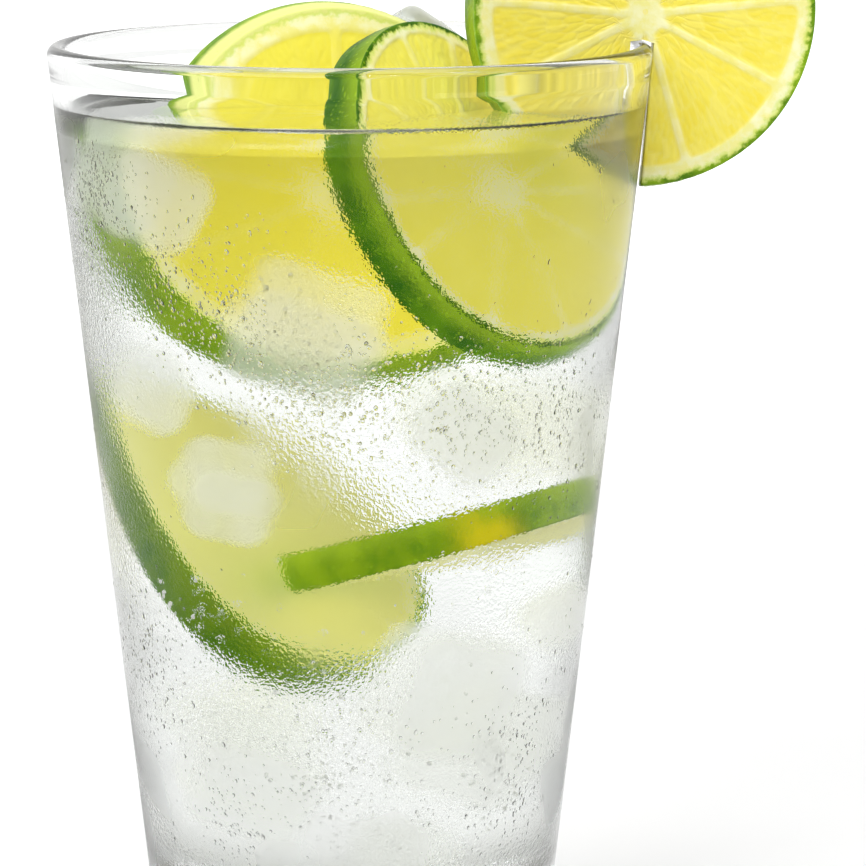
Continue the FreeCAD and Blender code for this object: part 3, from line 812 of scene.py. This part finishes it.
def melted_cube(size, rounding, uneven, rng):
    """Points and faces of a rounded block, uneven as melting leaves it."""
    grid = np.linspace(-1, 1, ICE_STEPS + 1)
    a, b = np.meshgrid(grid, grid, indexing="ij")
    points, faces = [], []
    for axis in range(3):
        for side in (-1, 1):
            block = np.zeros((ICE_STEPS + 1, ICE_STEPS + 1, 3))
            block[..., axis] = side
            block[..., (axis + 1) % 3] = a
            block[..., (axis + 2) % 3] = b
            index = len(points) * a.size + np.arange(a.size).reshape(a.shape)
            quads = np.stack([index[:-1, :-1], index[1:, :-1], index[1:, 1:], index[:-1, 1:]], axis=-1)
            quads = quads.reshape(-1, 4)
            faces.append(quads if side > 0 else quads[:, ::-1])
            points.append(block.reshape(-1, 3))
    half = np.array(size) / 2
    sharp = np.concatenate(points) * half
    core = np.clip(sharp, -(half - rounding), half - rounding)
    away = sharp - core
    length = np.maximum(np.linalg.norm(away, axis=1, keepdims=True), 1e-9)
    solid = core + away / length * rounding
    waves = rng.normal(0, 1, (ICE_WAVES, 3)) / (np.mean(size) * 0.45)
    phases = rng.uniform(0, 6, ICE_WAVES)
    shift = sum(np.sin(solid @ wave + phase) for wave, phase in zip(waves, phases))
    solid += solid / np.linalg.norm(solid, axis=1, keepdims=True) * shift[:, None] * uneven * np.mean(size)
    return solid, np.concatenate(faces)


def ice_mesh(name, cubes):
    """One mesh of several cubes, each (size, rounding, unevenness, place, seed)."""
    points, faces, used = [], [], 0
    for size, rounding, uneven, place, seed in cubes:
        solid, quads = melted_cube(size, rounding, uneven, np.random.default_rng(seed))
        turn = np.array(place.to_3x3())
        points.append(solid @ turn.T + np.array(place.translation))
        faces.append(quads + used)
        used += len(solid)
    mesh = bpy.data.meshes.new(name)
    mesh.from_pydata(np.concatenate(points).tolist(), [], np.concatenate(faces).tolist())
    joined = bmesh.new()
    joined.from_mesh(mesh)
    bmesh.ops.remove_doubles(joined, verts=joined.verts, dist=0.001 * MM)
    joined.to_mesh(mesh)
    joined.free()
    mesh.shade_smooth()
    return mesh


def ice_finish(name, clear, ior, rough, colour, glow=0.0, melted=False):
    """Ice. clear is the share of light that it lets through, and rough and colour are each (low, high).

    glow is painted light: the ice glows by this much in a near-white colour, in place of light spread in its
    cloud, and ice that has melted in the drink has a soft outline.
    """
    material, tree, shader = new_material(name)
    cloud, cloud_height = mottled(tree, *colour, 90.0, 0.2)
    tree.links.new(cloud, shader.inputs["Base Color"])
    tree.links.new(remap(tree, cloud_height, 0.35, 0.65, *rough), shader.inputs["Roughness"])
    bump = put(tree, "ShaderNodeBump", {"Strength": 0.4, "Distance": 0.15 * MM, "Height": cloud_height})
    tree.links.new(bump.outputs["Normal"], shader.inputs["Normal"])
    shader.inputs["Transmission Weight"].default_value = clear
    shader.inputs["IOR"].default_value = ior
    # Painted glow: the ice gives off this near-white light by glow, though it is no lamp.
    shader.inputs["Emission Color"].default_value = (0.97, 0.98, 0.94, 1)
    shader.inputs["Emission Strength"].default_value = glow
    if melted:
        facing = put(tree, "ShaderNodeLayerWeight", {"Blend": 0.5}).outputs["Facing"]
        tree.links.new(remap(tree, facing, 0.12, 0.7, 1.0, 0.0), shader.inputs["Alpha"])
    return material


ICE_EDGE = 17.0 * MM
ICE_THICK = 11.0 * MM
ICE_GAP = 0.3 * MM
ICE_TURN_DEG = 52
# how far melting has taken the top cube in from the size that it had
MELTED_EDGE = 0.97
MELTED_THICK = 0.95
ice_spot = Matrix.Translation((16.0 * MM, 15.5 * MM, -BACK_THICK - ICE_GAP - ICE_THICK / 2))
ice_place = back_place @ ice_spot @ Matrix.Rotation(math.radians(ICE_TURN_DEG), 4, "Z")
top_size = (ICE_EDGE * MELTED_EDGE, ICE_EDGE * MELTED_EDGE, ICE_THICK * MELTED_THICK)
top_ice = add_object("ice_top", ice_mesh("ice_top", [(top_size, 2.2 * MM, 0.006, ice_place, 3)]))
clear_ice = ice_finish("ice_clear", 0.7, 1.31, (0.08, 0.4), ((0.72, 0.76, 0.70), (0.93, 0.95, 0.92)))
top_ice.data.materials.append(clear_ice)
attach(top_ice, "root")
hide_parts("ice_cube_top")

SUNK_ROUNDING = 5.0 * MM
SUNK_UNEVEN = 0.018
# centre and size in mm, and turns about X, Y and Z in degrees, of each sunk cube
SUNK_ICE = [
    ((-25.5, -11.0, 121.2), (17, 16, 15), (20, 15, 30)),
    ((-5.0, -16.5, 102.5), (20, 18, 17), (35, 20, 10)),
    ((-24.0, -8.0, 93.0), (12, 13, 13), (10, 35, 50)),
    ((14.0, -19.0, 89.0), (17, 17, 14), (15, 40, 25)),
    ((15.0, 13.0, 86.0), (17, 16, 15), (30, 10, 60)),
    ((-15.0, -17.0, 79.5), (15, 16, 14), (40, 10, 15)),
    ((11.5, -12.5, 50.0), (18, 19, 20), (10, 15, 35)),
    ((-12.0, -9.0, 36.5), (19, 18, 18), (25, 20, 5)),
    ((12.0, 10.5, 39.0), (17, 17, 16), (45, 30, 20)),
    ((6.0, -14.0, 26.5), (14, 14, 12), (5, 20, 70)),
    ((-10.0, 14.0, 43.0), (14, 14, 14), (30, 50, 10)),
    ((22.5, 5.0, 58.0), (11, 12, 12), (20, 60, 30)),
]
sunk_cubes = []
for seed, (centre, size, turns) in enumerate(SUNK_ICE, start=40):
    spot = Matrix.Translation(Vector(centre) * MM)
    for axis, turn in zip("ZYX", reversed(turns)):
        spot = spot @ Matrix.Rotation(math.radians(turn), 4, axis)
    sunk_cubes.append(([edge * MM for edge in size], SUNK_ROUNDING, SUNK_UNEVEN, spot, seed))
sunk_ice = add_object("ice_sunk", ice_mesh("ice_sunk", sunk_cubes))
# The sunk ice carries a faint painted glow.
cloudy_ice = ice_finish(
    "ice_cloudy", 0.62, 1.03, (0.45, 0.7), ((0.95, 0.96, 0.93), (0.99, 0.995, 0.98)), 0.16, melted=True
)
sunk_ice.data.materials.append(cloudy_ice)
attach(sunk_ice, "root")

# ---------------------------------------------------------------- drops and bubbles
# Water from the air has settled in fine beads on the cold wall, closest where ice lies against it. Small
# bubbles cling to the peel of the sunk slices and gather low in the glass.
DROP_SIDES = 8
DROP_SEAT = 0.05 * MM
# share of a drop's radius, seat in the wall, and rise as a share of the radius, of each ring
DROP_RINGS = ((1.0, -DROP_SEAT, 0.0), (0.78, 0.0, 0.12))
DROP_TOP = 0.17
DROP_SMALLEST = 0.08
DROP_LARGEST = 0.34
DROP_COUNT = 5300
DROP_IOR = 1.2
BUBBLE_COUNT = 230
BUBBLE_WHITE_AND_GLOW = (0.96, 0.98, 0.93, 1)
BUBBLE_WALL_GAP = 0.3 * MM
# beads settled closest here: degrees round from the front, height and reach in mm, share of all
DROP_PATCHES = [
    (-57, 121, 8, 0.12), (-30, 108, 9, 0.10), (-14, 100, 9, 0.10), (0, 96, 8, 0.08), (24, 93, 9, 0.08),
    (50, 90, 11, 0.08), (-60, 54, 10, 0.07), (0, 42, 12, 0.06), (47, 38, 12, 0.07), (-32, 33, 10, 0.04),
    (140, 80, 30, 0.05), (210, 60, 30, 0.05), (-100, 100, 20, 0.02), (90, 60, 20, 0.02),
]
dice = np.random.default_rng(7)


def on_wall(turn, height):
    """Points on the outer wall, and the ways out of it, round it and up it. turn is 0 at the front."""
    slope = (RIM_RADIUS - BASE_RADIUS) / (GLASS_HEIGHT - LIP)
    flat = 0 * turn
    out = np.stack([np.sin(turn), -np.cos(turn), flat - slope], axis=-1) / math.hypot(1, slope)
    beside = np.stack([np.cos(turn), np.sin(turn), flat], axis=-1)
    reach = wall_outside(height)
    spot = np.stack([reach * np.sin(turn), -reach * np.cos(turn), height], axis=-1)
    return spot, out, beside, np.cross(out, beside)


turns, heights = [], []
for turn_deg, height, reach, share in DROP_PATCHES:
    many = int(DROP_COUNT * share)
    turns.append(np.radians(turn_deg) + dice.normal(0, reach / 58, many))
    heights.append(height * MM + dice.normal(0, reach * MM * 0.6, many))
loose = DROP_COUNT - sum(len(turn) for turn in turns)
turns = np.concatenate(turns + [dice.uniform(-np.pi, np.pi, loose)])
heights = np.concatenate(heights + [dice.uniform(10 * MM, 127 * MM, loose)])
kept = (heights > 8 * MM) & (heights < drink_level - 2 * MM)
turns, heights = turns[kept], heights[kept]
radii = np.clip(dice.lognormal(-1.9, 0.36, len(turns)), DROP_SMALLEST, DROP_LARGEST) * MM
spot, out, beside, upward = on_wall(turns, heights)
ring_turn = np.arange(DROP_SIDES) * 2 * np.pi / DROP_SIDES
wobble = 1 + dice.normal(0, 0.13, (len(turns), DROP_SIDES))
tall = dice.uniform(0.95, 1.35, len(turns))
levels = []
for share, seat, rise in DROP_RINGS:
    across = radii[:, None] * share * wobble
    ring = spot[:, None] + out[:, None] * (seat + rise * radii[:, None, None])
    ring = ring + beside[:, None] * (across * np.cos(ring_turn))[..., None]
    levels.append(ring + upward[:, None] * (across * np.sin(ring_turn) * tall[:, None])[..., None])
tips = [spot - out * DROP_SEAT, spot + out * DROP_TOP * radii[:, None]]
points = np.concatenate(levels + [tip[:, None] for tip in tips], axis=1)
one = np.arange(DROP_SIDES)
after = (one + 1) % DROP_SIDES
low_tip, high_tip = 2 * DROP_SIDES + 0 * one, 2 * DROP_SIDES + 1 + 0 * one
triangles = np.concatenate([
    np.stack([after, one, low_tip], axis=1),
    np.stack([one, after, after + DROP_SIDES], axis=1),
    np.stack([one, after + DROP_SIDES, one + DROP_SIDES], axis=1),
    np.stack([one + DROP_SIDES, after + DROP_SIDES, high_tip], axis=1),
])
starts = np.arange(len(turns)) * points.shape[1]
drop_mesh = bpy.data.meshes.new("drops")
drop_faces = (starts[:, None, None] + triangles[None]).reshape(-1, 3)
drop_mesh.from_pydata(points.reshape(-1, 3).tolist(), [], drop_faces.tolist())
drop_mesh.shade_smooth()
drops = add_object("drops", drop_mesh)
drops.data.materials.append(clear_material("cold_water", WHITE, DROP_IOR)[0])
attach(drops, "root")

# bubbles cluster here: centre, spread and largest radius in mm, share of all
BUBBLE_CLUSTERS = [
    ((-25.0, -19.0, 61.5), (5.0, 1.5, 3.0), 0.45, 0.16),
    ((-13.0, -28.5, 51.0), (6.0, 0.8, 1.6), 0.4, 0.10),
    ((-6.0, -27.0, 41.0), (8.0, 1.0, 2.5), 0.35, 0.24),
    ((20.0, -18.0, 36.0), (5.0, 2.0, 5.0), 0.35, 0.24),
    ((2.0, -20.0, 60.0), (16.0, 4.0, 12.0), 0.3, 0.26),
]
ball = bmesh.new()
bmesh.ops.create_icosphere(ball, subdivisions=2, radius=1.0)
ball_points = np.array([corner.co[:] for corner in ball.verts])
ball_faces = np.array([[corner.index for corner in face.verts] for face in ball.faces])
ball.free()
bubble_points, bubble_faces = [], []
for centre, room_for, largest, share in BUBBLE_CLUSTERS:
    for _ in range(int(BUBBLE_COUNT * share)):
        at = (np.array(centre) + dice.normal(0, 1, 3) * np.array(room_for)) * MM
        size = largest * MM * dice.uniform(0.35, 1.0)
        if math.hypot(at[0], at[1]) + size > wall_inside(at[2]) - BUBBLE_WALL_GAP or at[2] < 20 * MM:
            continue
        bubble_faces.append(ball_faces + len(bubble_points) * len(ball_points))
        bubble_points.append(at + ball_points * size)
bubble_mesh = bpy.data.meshes.new("bubbles")
bubble_mesh.from_pydata(np.concatenate(bubble_points).tolist(), [], np.concatenate(bubble_faces).tolist())
bubble_mesh.shade_smooth()
bubbles = add_object("bubbles", bubble_mesh)
bubble_material, tree, shader = new_material("bubble_white_glowing")
shader.inputs["Base Color"].default_value = BUBBLE_WHITE_AND_GLOW
shader.inputs["Roughness"].default_value = 0.5
shader.inputs["IOR"].default_value = 1.05
# Painted glow: the bubbles give off a little white light, so that they read as white dots.
shader.inputs["Emission Color"].default_value = BUBBLE_WHITE_AND_GLOW
shader.inputs["Emission Strength"].default_value = 0.25
bubbles.data.materials.append(bubble_material)
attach(bubbles, "root")
